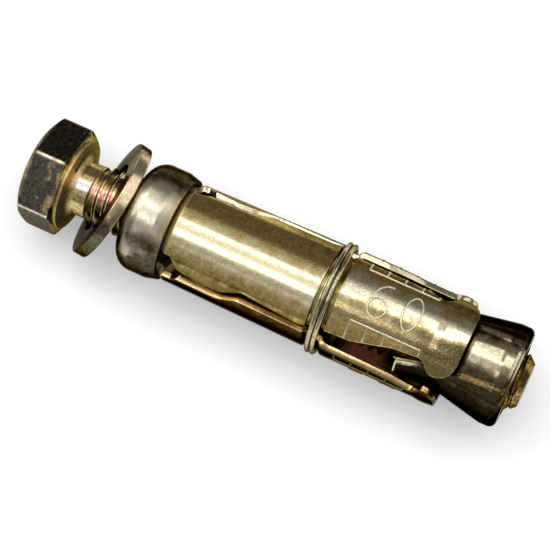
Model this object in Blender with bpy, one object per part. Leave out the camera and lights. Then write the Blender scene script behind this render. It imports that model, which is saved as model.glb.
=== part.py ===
"""Shield anchor for an 8 mm bolt, lying on its side along X.

A hexagon bolt passes through a loose washer and a drawn ferrule, and screws into a
cone nut. Three pressed shield segments stand between the ferrule and the cone, held
together by a ring of two wire turns. Stations are measured along the bolt from the
bearing face of its head, towards the nut. Angles are measured round the bolt from
straight up, towards -Y, which is the side that faces the viewer.
"""

import math

import bmesh
import bpy
from mathutils import Matrix, Vector

MM = 0.001

# Hexagon bolt
HEX_SIDES = 6
HEX_ACROSS_FLATS = 12.8 * MM
HEAD_HEIGHT = 5.3 * MM
HEAD_TURN = math.radians(6.4)
HEAD_CHAMFER_ANGLE = math.radians(30)
HEAD_TOP_FACE_RADIUS = 5.9 * MM
HEAD_CORNER_RADIUS = 7.22 * MM
WASHER_FACE_RADIUS = 5.95 * MM
WASHER_FACE_HEIGHT = 0.3 * MM
SHANK_LENGTH = 60.8 * MM
SHANK_RADIUS = 3.9 * MM
NECK_RADIUS = 3.5 * MM
NECK_END = 2.5 * MM
NECK_FILLET = 0.5 * MM
POINT_LENGTH = 1.2 * MM
POINT_RADIUS = 2.8 * MM

# Flat washer, hanging askew on the shank
WASHER_RADIUS = 7.95 * MM
WASHER_CLEARANCE = 0.13 * MM
WASHER_THICKNESS = 1.55 * MM
WASHER_EDGE_ROUNDING = 0.2 * MM
WASHER_LEAN = math.radians(24.8)
WASHER_STATION = 4.8 * MM

# Ferrule
FERRULE_START = 8.15 * MM
FERRULE_END = 14.15 * MM
FERRULE_RADIUS = 7.07 * MM
FERRULE_WALL = 0.6 * MM
FERRULE_SHOULDER = 2.2 * MM
FERRULE_RIM_LENGTH = 1.5 * MM
FERRULE_RIM_DROP = 0.42 * MM
FERRULE_RIM_ROUNDING = 1.2 * MM
FERRULE_HOLE_CLEARANCE = 0.35 * MM

# Shield segments
PLATE = 0.85 * MM
TONGUE_CLEARANCE = 0.22 * MM
HOOK_LENGTH = 1.0 * MM
BODY_START = 14.9 * MM
BODY_START_RADIUS = 6.45 * MM
BODY_END_RADIUS = 6.72 * MM
JOGGLE_LENGTH = 0.8 * MM
GROOVE_START = 34.0 * MM
GROOVE_WIDTH = 2.4 * MM
GROOVE_DEPTH = 0.42 * MM
GROOVE_SLOPE = 0.4 * MM
SKIRT_RADIUS = 6.86 * MM
LOBE_START = 48.8 * MM
LOBE_RISE = 1.0 * MM
LOBE_RADIUS = 6.98 * MM
LOBE_CORNER = 2.5 * MM
LOBE_TIP_LENGTH = 1.1 * MM
LOBE_TIP_DROP = 0.1 * MM
FRONT_SEGMENT_END = 52.8 * MM
OTHER_SEGMENT_END = 51.6 * MM
BEND_ROUNDING = 0.35 * MM
SEGMENT_COUNT = 3
SHIELD_TURN = math.radians(20.3)
SEGMENT_MIDDLE = math.radians(-16)

# The two long edges of the pressed blank: share of the way from the body's start to the front
# segment's end, and angle in degrees from the datum line
UPPER_EDGE = (
    (0, -52),
    (0.037, -52),
    (0.050, -57.5),
    (0.203, -57.5),
    (0.266, -69),
    (0.517, -69),
    (0.583, -59),
    (0.689, -58),
    (0.818, -55.5),
    (0.889, -50),
    (0.923, -67),
)
LOWER_EDGE = (
    (0, 31),
    (0.032, 31),
    (0.045, 44),
    (0.129, 51),
    (0.203, 49),
    (0.277, 36),
    (0.364, 39),
    (0.478, 42),
    (0.570, 35),
    (0.660, 33.5),
    (0.726, 27.5),
    (0.792, 21),
    (0.889, 18.5),
    (0.926, 31.5),
)
EDGE_ROUNDING = 0.9 * MM
EDGE_SAMPLES = 7

# Retaining ring
WIRE_RADIUS = 0.32 * MM
RING_CLEARANCE = 0.2 * MM
RING_TURNS = 1.9
RING_PITCH = 0.66 * MM
RING_TILT = math.radians(2.2)
RING_LIFT = 0.12 * MM
RING_SLIDE = -0.08 * MM
RING_END_TURN = math.radians(250)

# Cone nut
NUT_START = 45.6 * MM
NUT_LENGTH = 13.8 * MM
NUT_LAND_LENGTH = 2.0 * MM
NUT_NOSE_RADIUS = 4.4 * MM
CONE_CLEARANCE = 0.25 * MM
CONE_HALF_ANGLE = math.radians(10.2)
NUT_END_ROUNDING = 0.9 * MM
NUT_BORE_CLEARANCE = 0.2 * MM
NUT_BORE_CHAMFER = 0.5 * MM
RIDGE_TURN = math.radians(47)
RIDGE_HEIGHT = 0.42 * MM
RIDGE_START_HALF_ANGLE = math.radians(11)
RIDGE_END_HALF_ANGLE = math.radians(25)
RIDGE_FLANK = math.radians(5)
KEY_RADIUS = 6.0 * MM
KEY_LENGTH = 3.3 * MM

# Facets
ROUND_SIDES = 48
SHANK_SIDES = 40
ARC_STEPS = 9
BEND_STEPS = 2
FILLET_STEPS = 5
STATION_STEP = 1.15 * MM
CORNER_STEPS = 5
RIDGE_STEPS = 4
RING_POINTS_PER_TURN = 34
SHARP_ANGLE = math.radians(35)

# Sizes that follow from the ones above
THIRD = 2 * math.pi / SEGMENT_COUNT
MIDDLE = (SHANK_LENGTH - HEAD_HEIGHT) / 2
MOUTH_RADIUS = FERRULE_RADIUS - FERRULE_RIM_DROP - FERRULE_WALL
TONGUE_RADIUS = MOUTH_RADIUS - TONGUE_CLEARANCE
HOOK_RADIUS = FERRULE_RADIUS - FERRULE_WALL - TONGUE_CLEARANCE
TONGUE_START = FERRULE_START + FERRULE_SHOULDER
GROOVE_END = GROOVE_START + GROOVE_WIDTH
GROOVE_RADIUS = BODY_END_RADIUS - GROOVE_DEPTH
RING_RADIUS = GROOVE_RADIUS + RING_CLEARANCE + RING_LIFT + WIRE_RADIUS
RING_STATION = (GROOVE_START + GROOVE_END) / 2 + RING_SLIDE
NUT_END = NUT_START + NUT_LENGTH
NUT_LAND_START = NUT_END - NUT_LAND_LENGTH
NUT_LAND_RADIUS = (
    LOBE_RADIUS - LOBE_TIP_DROP - PLATE - CONE_CLEARANCE - RIDGE_HEIGHT
    + (NUT_LAND_START - FRONT_SEGMENT_END) * math.tan(CONE_HALF_ANGLE)
)
NUT_BORE_RADIUS = SHANK_RADIUS + NUT_BORE_CLEARANCE
WASHER_HOLE_RADIUS = (
    SHANK_RADIUS + WASHER_CLEARANCE + WASHER_THICKNESS / 2 * math.sin(WASHER_LEAN)
) / math.cos(WASHER_LEAN)
# A washer that leans reaches lowest at the middle of a facet of its rim
WASHER_DROP = (
    (WASHER_RADIUS - WASHER_EDGE_ROUNDING) * math.cos(WASHER_LEAN) * math.cos(math.pi / ROUND_SIDES)
    + (WASHER_THICKNESS / 2 - WASHER_EDGE_ROUNDING) * math.sin(WASHER_LEAN)
    + WASHER_EDGE_ROUNDING
)
AXIS_HEIGHT = max(WASHER_DROP, RING_RADIUS + WIRE_RADIUS - RING_LIFT, HEAD_CORNER_RADIUS)
SPLAY_STATION = FERRULE_END - FERRULE_RIM_LENGTH
SPLAY_RADIUS = TONGUE_RADIUS


def clear_scene():
    for item in list(bpy.data.objects):
        bpy.data.objects.remove(item, do_unlink=True)


def on_axis(station, radius, turn):
    """A point round the bolt's own axis, before the anchor is set on the floor."""
    return Vector((station - MIDDLE, -radius * math.sin(turn), radius * math.cos(turn)))


def finish(name, bm, colour, metallic, roughness, origin=None):
    """Turn a bmesh round the bolt's axis into a named piece whose origin is at the given point."""
    origin = origin or Vector((0, 0, 0))
    bmesh.ops.remove_doubles(bm, verts=bm.verts, dist=1e-7)
    bmesh.ops.recalc_face_normals(bm, faces=bm.faces)
    bmesh.ops.translate(bm, verts=bm.verts, vec=-origin)
    mesh = bpy.data.meshes.new(name)
    bm.to_mesh(mesh)
    bm.free()
    return show(name, mesh, colour, metallic, roughness, origin)


def show(name, data, colour, metallic, roughness, origin):
    piece = bpy.data.objects.new(name, data)
    bpy.context.scene.collection.objects.link(piece)
    piece.location = origin + Vector((0, 0, AXIS_HEIGHT))
    material = bpy.data.materials.new(name)
    material.use_nodes = True
    shader = material.node_tree.nodes["Principled BSDF"]
    shader.inputs["Base Color"].default_value = (*colour, 1)
    shader.inputs["Metallic"].default_value = metallic
    shader.inputs["Roughness"].default_value = roughness
    data.materials.append(material)
    if isinstance(data, bpy.types.Mesh):
        data.shade_smooth()
        data.set_sharp_from_angle(angle=SHARP_ANGLE)
    return piece


def as_tool(piece):
    """A shape that only cuts or completes another piece."""
    piece.hide_render = True
    piece.display_type = "WIRE"
    return piece


def combine(piece, tool, operation):
    modifier = piece.modifiers.new(tool.name, "BOOLEAN")
    modifier.operation = operation
    modifier.solver = "EXACT"
    modifier.object = as_tool(tool)


def rounded(corners, steps, closed=False):
    """Replace each corner (station, radius, fillet) of a profile with an arc."""
    count = len(corners)
    points = []
    for index, (station, radius, fillet) in enumerate(corners):
        corner = Vector((station, radius))
        if fillet == 0 or (not closed and index in (0, count - 1)):
            points.append(corner)
            continue
        before = (Vector(corners[index - 1][:2]) - corner).normalized()
        after = (Vector(corners[(index + 1) % count][:2]) - corner).normalized()
        half = before.angle(after) / 2
        centre = corner + (before + after).normalized() * fillet / math.sin(half)
        start = corner + before * fillet / math.tan(half) - centre
        sweep = start.angle_signed(corner + after * fillet / math.tan(half) - centre)
        points += [centre + Matrix.Rotation(-sweep * k / steps, 2) @ start for k in range(steps + 1)]
    return points


def turned(profile, sides, closed=True):
    """A body of revolution about the bolt's axis from (station, radius) points, with a facet downwards."""
    bm = bmesh.new()
    verts = [bm.verts.new(on_axis(point[0], point[1], math.pi / sides)) for point in profile]
    pairs = list(zip(verts, verts[1:]))
    if closed:
        pairs.append((verts[-1], verts[0]))
    edges = [bm.edges.new(pair) for pair in pairs]
    bmesh.ops.spin(
        bm, geom=verts + edges, cent=(0, 0, 0), axis=(1, 0, 0),
        angle=2 * math.pi, steps=sides, use_merge=True, use_duplicate=False,
    )
    return bm


def lofted(sections):
    """A closed body through sections that have the same number of points."""
    bm = bmesh.new()
    first = [bm.verts.new(point) for point in sections[0]]
    edges = [bm.edges.new(pair) for pair in zip(first, first[1:] + first[:1])]
    bm.faces.new(first)
    for section in sections[1:]:
        grown = bmesh.ops.extrude_edge_only(bm, edges=edges)["geom"]
        edges = [item for item in grown if isinstance(item, bmesh.types.BMEdge)]
        verts = [item for item in grown if isinstance(item, bmesh.types.BMVert)]
        for vert, point in zip(verts, section):
            vert.co = point
    bmesh.ops.contextual_create(bm, geom=edges)
    return bm


def bolt_head():
    """The hexagon, with its corners and both rims cut back by a turned cone."""
    bm = bmesh.new()
    half_side = math.pi / HEX_SIDES
    sharp_radius = HEX_ACROSS_FLATS / 2 / math.cos(half_side)
    bmesh.ops.create_cone(
        bm, cap_ends=True, segments=HEX_SIDES, depth=HEAD_HEIGHT - WASHER_FACE_HEIGHT,
        radius1=sharp_radius, radius2=sharp_radius,
    )
    centre = on_axis(-(HEAD_HEIGHT + WASHER_FACE_HEIGHT) / 2, 0, 0)
    # Laid over, the bar has a flat upwards: half a side less points a corner up
    lay = Matrix.Rotation(HEAD_TURN - half_side, 4, "X") @ Matrix.Rotation(-math.pi / 2, 4, "Y")
    bmesh.ops.transform(bm, matrix=Matrix.Translation(centre) @ lay, verts=bm.verts)
    head = finish("hex_bolt", bm, (0.30, 0.27, 0.20), 1.0, 0.32)

    top_slope = (HEAD_CORNER_RADIUS - HEAD_TOP_FACE_RADIUS) * math.tan(HEAD_CHAMFER_ANGLE)
    bottom_slope = (HEAD_CORNER_RADIUS - WASHER_FACE_RADIUS) * math.tan(HEAD_CHAMFER_ANGLE) / 2
    rim = (
        (-HEAD_HEIGHT, 0),
        (-HEAD_HEIGHT, HEAD_TOP_FACE_RADIUS),
        (-HEAD_HEIGHT + top_slope, HEAD_CORNER_RADIUS),
        (-WASHER_FACE_HEIGHT - bottom_slope, HEAD_CORNER_RADIUS),
        (-WASHER_FACE_HEIGHT, WASHER_FACE_RADIUS),
        (0, WASHER_FACE_RADIUS),
        (0, 0),
    )
    chamfer = finish("head_chamfer", turned(rim, ROUND_SIDES, closed=False), (0.3, 0.3, 0.3), 1, 0.4)
    combine(head, chamfer, "INTERSECT")
    return head


def hex_bolt():
    """Head, raised bearing face, necked shank and chamfered point, in one forging."""
    bolt = bolt_head()
    inside_head = -HEAD_HEIGHT / 2
    shank = rounded(
        (
            (inside_head, 0, 0),
            (inside_head, WASHER_FACE_RADIUS, 0),
            (0, WASHER_FACE_RADIUS, 0),
            (0, NECK_RADIUS, NECK_FILLET),
            (NECK_END - (SHANK_RADIUS - NECK_RADIUS), NECK_RADIUS, 0),
            (NECK_END, SHANK_RADIUS, 0),
            (SHANK_LENGTH - POINT_LENGTH, SHANK_RADIUS, 0),
            (SHANK_LENGTH, POINT_RADIUS, 0),
            (SHANK_LENGTH, 0, 0),
        ),
        FILLET_STEPS,
    )
    body = finish("bolt_shank", turned(shank, SHANK_SIDES, closed=False), (0.3, 0.3, 0.3), 1, 0.4)
    combine(bolt, body, "UNION")


def flat_washer():
    """A stamped disc, leaning on the shank with its top towards the ferrule."""
    half = WASHER_THICKNESS / 2
    profile = rounded(
        (
            (MIDDLE - half, WASHER_HOLE_RADIUS, 0),
            (MIDDLE - half, WASHER_RADIUS, WASHER_EDGE_ROUNDING),
            (MIDDLE + half, WASHER_RADIUS, WASHER_EDGE_ROUNDING),
            (MIDDLE + half, WASHER_HOLE_RADIUS, 0),
        ),
        BEND_STEPS,
        closed=True,
    )
    washer = finish("flat_washer", turned(profile, ROUND_SIDES), (0.62, 0.55, 0.42), 1.0, 0.3)
    washer.location = on_axis(WASHER_STATION, 0, 0) + Vector((0, 0, AXIS_HEIGHT))
    washer.rotation_euler = (0, WASHER_LEAN, 0)


def ferrule_cap():
    """A drawn cup, bored for the bolt, with its mouth rolled in over the segments' tongues."""
    rim_start = FERRULE_END - FERRULE_RIM_LENGTH
    rim_radius = FERRULE_RADIUS - FERRULE_RIM_DROP
    hole = SHANK_RADIUS + FERRULE_HOLE_CLEARANCE
    inside = FERRULE_RADIUS - FERRULE_WALL
    floor = FERRULE_START + FERRULE_WALL
    profile = rounded(
        (
            (FERRULE_START, hole, 0),
            (FERRULE_START, FERRULE_RADIUS, FERRULE_SHOULDER),
            (rim_start, FERRULE_RADIUS, FERRULE_RIM_ROUNDING),
            (FERRULE_END, rim_radius, 0),
            (FERRULE_END, MOUTH_RADIUS, 0),
            (rim_start, inside, 0),
            (floor, inside, FERRULE_SHOULDER - FERRULE_WALL),
            (floor, hole, 0),
        ),
        FILLET_STEPS,
        closed=True,
    )
    finish("ferrule_cap", turned(profile, ROUND_SIDES), (0.45, 0.42, 0.36), 1.0, 0.35)


def plate_profile(end):
    """The segment's outer skin from its hooked tongue to the tip of its lobe."""
    hook_end = TONGUE_START + HOOK_LENGTH
    hook_foot = hook_end + HOOK_RADIUS - TONGUE_RADIUS
    skirt_start = GROOVE_END + SKIRT_RADIUS - BODY_END_RADIUS
    return (
        (TONGUE_START, HOOK_RADIUS),
        (hook_end, HOOK_RADIUS),
        (hook_foot, TONGUE_RADIUS),
        (BODY_START - JOGGLE_LENGTH, TONGUE_RADIUS),
        (BODY_START, BODY_START_RADIUS),
        (GROOVE_START, BODY_END_RADIUS),
        (GROOVE_START + GROOVE_SLOPE, GROOVE_RADIUS),
        (GROOVE_END - GROOVE_SLOPE, GROOVE_RADIUS),
        (skirt_start, SKIRT_RADIUS),
        (LOBE_START, SKIRT_RADIUS),
        (LOBE_START + LOBE_RISE, LOBE_RADIUS),
        (end - LOBE_TIP_LENGTH, LOBE_RADIUS),
        (end, LOBE_RADIUS - LOBE_TIP_DROP),
    )


def inset(profile, depth):
    """The same profile moved inwards by an even depth, with mitred corners."""
    points = [Vector(point) for point in profile]
    moved = []
    for index, point in enumerate(points):
        before = (point - points[index - 1]) if index else (points[1] - point)
        after = (points[index + 1] - point) if index + 1 < len(points) else before
        normals = [Vector((way.y, -way.x)).normalized() for way in (before, after)]
        mitre = (normals[0] + normals[1]).normalized()
        moved.append(point + mitre * depth / mitre.dot(normals[0]))
    moved[0].x = points[0].x
    moved[-1].x = points[-1].x
    return [tuple(point) for point in moved]


def softened(profile):
    return rounded([(*point, BEND_ROUNDING / 2) for point in profile], BEND_STEPS)


def edge_angle(edge, station):
    """The blank's edge at a station, with every corner of its outline eased."""
    total = 0
    for k in range(EDGE_SAMPLES):
        place = station + EDGE_ROUNDING * (k / (EDGE_SAMPLES - 1) - 0.5)
        share = (place - BODY_START) / (FRONT_SEGMENT_END - BODY_START)
        low = max([point for point in edge if point[0] <= share], default=edge[0])
        high = min([point for point in edge if point[0] > share], default=edge[-1])
        span = high[0] - low[0]
        part = min(max((share - low[0]) / span, 0), 1) if span > 0 else 0
        total += low[1] + (high[1] - low[1]) * part
    return math.radians(total / EDGE_SAMPLES)


def corner_inset(station, end, radius):
    """How far the round corner of the lobe takes an edge back, as an angle."""
    reach = station - (end - LOBE_CORNER)
    if reach <= 0:
        return 0
    fall = LOBE_CORNER - math.sqrt(max(LOBE_CORNER ** 2 - reach ** 2, 0))
    return fall / radius


def plate_stations(end):
    """Pairs of outer and inner profile points, close enough to follow the blank's edges."""
    outer = softened(plate_profile(end))
    inner = softened(inset(plate_profile(end), PLATE))
    pairs = [(outer[0], inner[0])]
    for index in range(1, len(outer)):
        steps = max(1, math.ceil((outer[index].x - outer[index - 1].x) / STATION_STEP))
        for k in range(1, steps + 1):
            share = k / steps
            pairs.append(
                (
                    outer[index - 1].lerp(outer[index], share),
                    inner[index - 1].lerp(inner[index], share),
                )
            )
    return [pair for pair in pairs if pair[0].x < end - LOBE_CORNER] + lobe_stations(end, outer, inner)


def radius_at(profile, station):
    for low, high in zip(profile, profile[1:]):
        if low.x <= station <= high.x:
            return low.y + (high.y - low.y) * (station - low.x) / (high.x - low.x)
    return profile[-1].y


def lobe_stations(end, outer, inner):
    """Stations that crowd towards the tip, where the lobe's corners turn."""
    pairs = []
    for k in range(CORNER_STEPS + 1):
        swing = math.pi / 2 * k / CORNER_STEPS
        station = end - LOBE_CORNER + LOBE_CORNER * math.sin(swing)
        pairs.append(
            (
                Vector((station, radius_at(outer, station))),
                Vector((station, radius_at(inner, station))),
            )
        )
    return pairs


def shield_segment(name, index, end):
    """One third of the shield: a plate bent round the bolt, joggled, grooved and lobed."""
    datum = SHIELD_TURN + THIRD * index
    sections = []
    for outer, inner in plate_stations(end):
        station = (outer.x + inner.x) / 2
        back = corner_inset(station, end, outer.y)
        start = datum + edge_angle(UPPER_EDGE, station) + back
        stop = datum + edge_angle(LOWER_EDGE, station) - back
        turns = [start + (stop - start) * k / ARC_STEPS for k in range(ARC_STEPS + 1)]
        skin = [on_axis(outer.x, outer.y, turn) for turn in turns]
        back_face = [on_axis(inner.x, inner.y, turn) for turn in reversed(turns)]
        sections.append(skin + back_face)
    hinge = on_axis(SPLAY_STATION, SPLAY_RADIUS, datum + SEGMENT_MIDDLE)
    finish(name, lofted(sections), (0.42, 0.36, 0.20), 1.0, 0.3, hinge)


def retaining_ring():
    """Two turns of round wire in the grooves of the three segments."""
    curve = bpy.data.curves.new("retaining_ring", "CURVE")
    curve.dimensions = "3D"
    curve.bevel_depth = WIRE_RADIUS
    curve.bevel_resolution = 2
    curve.use_fill_caps = True
    count = round(RING_TURNS * RING_POINTS_PER_TURN) + 1
    spline = curve.splines.new("POLY")
    spline.points.add(count - 1)
    for k in range(count):
        turns = k / RING_POINTS_PER_TURN
        turn = RING_END_TURN + 2 * math.pi * turns
        slide = RING_PITCH * (turns - RING_TURNS / 2)
        lean = RING_RADIUS * math.tan(RING_TILT) * math.cos(turn - SHIELD_TURN)
        point = on_axis(RING_STATION + slide + lean, RING_RADIUS, turn)
        spline.points[k].co = (point.x, point.y, point.z + RING_LIFT, 1)
    show("retaining_ring", curve, (0.2, 0.19, 0.17), 1.0, 0.25, Vector((0, 0, 0)))


def cone_radius(station):
    cone = NUT_LAND_RADIUS - (NUT_LAND_START - station) * math.tan(CONE_HALF_ANGLE)
    return min(max(cone, NUT_NOSE_RADIUS), NUT_LAND_RADIUS)


def ridge_radius(station):
    """The ridge's crest, which rises into a key at the cone's small end."""
    ridge = cone_radius(station) + RIDGE_HEIGHT
    key_share = max(1 - (station - NUT_START) / KEY_LENGTH, 0)
    return ridge + (KEY_RADIUS - ridge) * key_share


def ridge_half_angle(station):
    share = min((station - NUT_START) / (NUT_LAND_START - NUT_START), 1)
    return RIDGE_START_HALF_ANGLE + (RIDGE_END_HALF_ANGLE - RIDGE_START_HALF_ANGLE) * share


def nut_section(station, drop):
    """One ring of points round the nut, with its three ridges, a little below its full size."""
    points = []
    half_angle = ridge_half_angle(station)
    root = half_angle + RIDGE_FLANK
    valley = THIRD - 2 * root
    for index in range(SEGMENT_COUNT):
        centre = SHIELD_TURN + RIDGE_TURN + THIRD * index
        for k in range(RIDGE_STEPS + 1):
            turn = centre + (2 * k / RIDGE_STEPS - 1) * half_angle
            points.append(on_axis(station, ridge_radius(station) - drop, turn))
        for k in range(ARC_STEPS + 1):
            turn = centre + root + valley * k / ARC_STEPS
            points.append(on_axis(station, cone_radius(station) - drop, turn))
    return points


def cone_nut():
    """A cone with three widening ridges, whose keys run in the slots and keep it from turning."""
    sections = []
    steps = math.ceil((NUT_LAND_START - NUT_START) / STATION_STEP)
    for k in range(steps + 1):
        sections.append(nut_section(NUT_START + (NUT_LAND_START - NUT_START) * k / steps, 0))
    for k in range(FILLET_STEPS + 1):
        swing = math.pi / 2 * k / FILLET_STEPS
        station = NUT_END - NUT_END_ROUNDING * (1 - math.sin(swing))
        sections.append(nut_section(station, NUT_END_ROUNDING * (1 - math.cos(swing))))
    nut = finish("cone_nut", lofted(sections), (0.25, 0.22, 0.16), 1.0, 0.28)

    mouth = NUT_BORE_RADIUS + NUT_BORE_CHAMFER
    profile = (
        (NUT_START - NUT_BORE_CHAMFER, 0),
        (NUT_START - NUT_BORE_CHAMFER, NUT_BORE_RADIUS),
        (NUT_END - NUT_BORE_CHAMFER, NUT_BORE_RADIUS),
        (NUT_END, mouth),
        (NUT_END + NUT_BORE_CHAMFER, mouth),
        (NUT_END + NUT_BORE_CHAMFER, 0),
    )
    bore = finish("nut_bore", turned(profile, SHANK_SIDES, closed=False), (0.3, 0.3, 0.3), 1, 0.4)
    combine(nut, bore, "DIFFERENCE")


clear_scene()
hex_bolt()
flat_washer()
ferrule_cap()
shield_segment("shield_segment_front", 0, FRONT_SEGMENT_END)
shield_segment("shield_segment_lower", 1, OTHER_SEGMENT_END)
shield_segment("shield_segment_rear", 2, OTHER_SEGMENT_END)
retaining_ring()
cone_nut()
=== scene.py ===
"""Shield anchor for an 8 mm bolt, lying on a white table under soft light from above.

Stations are measured along the bolt from the bearing face of its head towards the nut, and
turns round the bolt from straight up towards -Y, the side that faces the viewer.
"""

from math import ceil, copysign, cos, degrees, pi, radians, sin, sqrt, tan

import bmesh
import bpy
from mathutils import Matrix, Vector


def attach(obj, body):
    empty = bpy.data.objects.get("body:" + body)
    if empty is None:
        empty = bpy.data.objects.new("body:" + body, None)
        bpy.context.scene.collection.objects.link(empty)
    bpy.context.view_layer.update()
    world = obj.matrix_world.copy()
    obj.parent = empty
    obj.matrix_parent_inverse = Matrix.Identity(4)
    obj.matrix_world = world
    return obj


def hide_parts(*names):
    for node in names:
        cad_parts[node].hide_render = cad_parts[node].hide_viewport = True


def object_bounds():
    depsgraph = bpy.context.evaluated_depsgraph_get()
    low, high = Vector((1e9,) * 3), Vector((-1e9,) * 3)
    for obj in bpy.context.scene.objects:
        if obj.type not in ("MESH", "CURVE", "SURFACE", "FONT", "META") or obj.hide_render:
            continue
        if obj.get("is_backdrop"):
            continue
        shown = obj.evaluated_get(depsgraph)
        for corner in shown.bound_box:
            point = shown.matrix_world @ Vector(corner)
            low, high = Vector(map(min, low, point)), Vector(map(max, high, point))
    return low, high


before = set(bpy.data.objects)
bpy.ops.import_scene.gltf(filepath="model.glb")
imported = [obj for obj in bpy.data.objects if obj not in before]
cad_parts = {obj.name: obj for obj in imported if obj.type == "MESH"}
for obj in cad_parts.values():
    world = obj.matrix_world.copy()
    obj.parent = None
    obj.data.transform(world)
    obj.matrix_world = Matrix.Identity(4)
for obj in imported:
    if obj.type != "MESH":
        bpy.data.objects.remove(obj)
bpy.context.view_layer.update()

# The table is one wide white sheet. The anchor lies on it at height zero, and the sheet
# darkens where the anchor keeps the light of the room off it.
MM = 0.001
TABLE_SIZE = 3.0
TABLE_COLOUR = "#BEBEBE"
TABLE_ROUGHNESS = 0.9
TABLE_GLOW = 0.74
SHADE_REACH = 9 * MM
SHADE_LEFT = 0.42


def tint(code):
    """A colour written as sRGB, as the linear values that a shader takes."""
    shares = [int(code[k:k + 2], 16) / 255 for k in (1, 3, 5)]
    linear = [s / 12.92 if s <= 0.04045 else ((s + 0.055) / 1.055) ** 2.4 for s in shares]
    return (*linear, 1)


def add(tree, kind, inputs=None, **settings):
    """A node with its settings, and its inputs, each a plain value or another node's output."""
    item = tree.nodes.new("ShaderNode" + kind)
    for key, value in settings.items():
        setattr(item, key, value)
    for key, value in (inputs or {}).items():
        if isinstance(value, bpy.types.NodeSocket):
            tree.links.new(value, item.inputs[key])
        else:
            item.inputs[key].default_value = value
    return item


def new_material(name):
    """An empty material: its node tree and the shader that the surface shows."""
    material = bpy.data.materials.new(name)
    material.use_nodes = True
    return material, material.node_tree, material.node_tree.nodes["Principled BSDF"]


def feed(shader, name, value):
    """Lead another node's output into one of the shader's inputs."""
    shader.id_data.links.new(value, shader.inputs[name])


def placed(name, data):
    """An object of the scene for a mesh, a curve, a light or the camera."""
    item = bpy.data.objects.new(name, data)
    bpy.context.scene.collection.objects.link(item)
    return item


def table():
    bm = bmesh.new()
    bmesh.ops.create_grid(bm, x_segments=1, y_segments=1, size=TABLE_SIZE / 2)
    mesh = bpy.data.meshes.new("table")
    bm.to_mesh(mesh)
    bm.free()
    material, tree, shader = new_material("white_paper")
    shader.inputs["Roughness"].default_value = TABLE_ROUGHNESS
    shader.inputs["Specular IOR Level"].default_value = 0
    open_share = add(tree, "AmbientOcclusion", {"Distance": SHADE_REACH}).outputs["AO"]
    left = {0: open_share, 1: 1 - SHADE_LEFT, 2: SHADE_LEFT}
    shade = add(tree, "Math", left, operation="MULTIPLY_ADD").outputs["Value"]
    paper = add(tree, "Mix", {"Factor": shade, 6: (0, 0, 0, 1), 7: tint(TABLE_COLOUR)}, data_type="RGBA")
    feed(shader, "Base Color", paper.outputs[2])
    feed(shader, "Emission Color", shade)
    ray = add(tree, "LightPath").outputs
    direct = {0: ray["Is Camera Ray"], 1: ray["Is Glossy Ray"]}
    seen = {0: add(tree, "Math", direct, operation="ADD").outputs["Value"], 1: ray["Is Transmission Ray"]}
    seen = add(tree, "Math", seen, operation="ADD", use_clamp=True).outputs["Value"]
    glow = add(tree, "Math", {0: seen, 1: TABLE_GLOW}, operation="MULTIPLY")
    feed(shader, "Emission Strength", glow.outputs["Value"])
    mesh.materials.append(material)
    sheet = placed("table", mesh)
    sheet.location.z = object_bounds()[0][2]
    sheet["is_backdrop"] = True


table()

# The studio: a wide dim box overhead, three smaller, brighter boxes and two tubes at the same
# distance, a dim box in front, a soft box beyond each end of the anchor, and a dim warm room.
# Each box is a turn round the anchor, a place along it, a width, a length and a power.
ROOM_COLOUR = "#FFF6E6"
ROOM_STRENGTH = 0.17
LIGHT_DISTANCE = 0.9
OVERHEAD_BOXES = {
    "wide_box": (radians(10), 0, 1.7, 1.0, 1.6),
    "middle_box": (radians(12), -0.20, 0.6, 0.24, 0.24),
    "upper_tube": (radians(-3), -0.20, 0.12, 0.24, 0.18),
    "lower_tube": (radians(24), -0.20, 0.18, 0.24, 0.25),
    "head_box": (radians(-18), -0.42, 0.6, 0.22, 0.54),
    "nut_box": (radians(-12), 0.06, 0.4, 0.32, 0.62),
    "front_box": (radians(66), 0, 0.6, 0.9, 0.45),
}
# Each end box is a way along the anchor, a turn round it, a length and a power
END_BOXES = {
    "head_end_box": (-1, 0, 0.66, 2.0),
    "nut_end_box": (1, radians(-18), 1.05, 2.2),
}
END_HEIGHT = radians(48)
END_WIDTH = 0.66
BOX_AT_END = 0.6


def lamp(name, place, width, length, power):
    """A soft box that faces the anchor, its long side along the anchor where it can be."""
    data = bpy.data.lights.new(name, "AREA")
    data.shape = "RECTANGLE"
    data.size = length
    data.size_y = width
    data.energy = power
    light = placed(name, data)
    light.location = place
    back = Vector(place).normalized()
    side = Vector((1, 0, 0)) if abs(back.x) < BOX_AT_END else Vector((0, 1, 0))
    up = back.cross(side).normalized()
    side = up.cross(back)
    light.rotation_euler = Matrix((side, up, back)).transposed().to_euler()


def studio():
    for name, (turn, along, width, length, power) in OVERHEAD_BOXES.items():
        place = Vector((0, -sin(turn), cos(turn))) * LIGHT_DISTANCE
        lamp(name, place + Vector((along, 0, 0)), width, length, power)
    for name, (way, turn, length, power) in END_BOXES.items():
        place = Vector((way * cos(END_HEIGHT), 0, sin(END_HEIGHT))) * LIGHT_DISTANCE
        lamp(name, Matrix.Rotation(turn, 3, "X") @ place, END_WIDTH, length, power)
    world = bpy.data.worlds.new("room")
    bpy.context.scene.world = world
    world.use_nodes = True
    background = world.node_tree.nodes["Background"]
    background.inputs["Color"].default_value = tint(ROOM_COLOUR)
    background.inputs["Strength"].default_value = ROOM_STRENGTH
    bpy.context.scene.view_settings.view_transform = "Standard"


studio()

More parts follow.
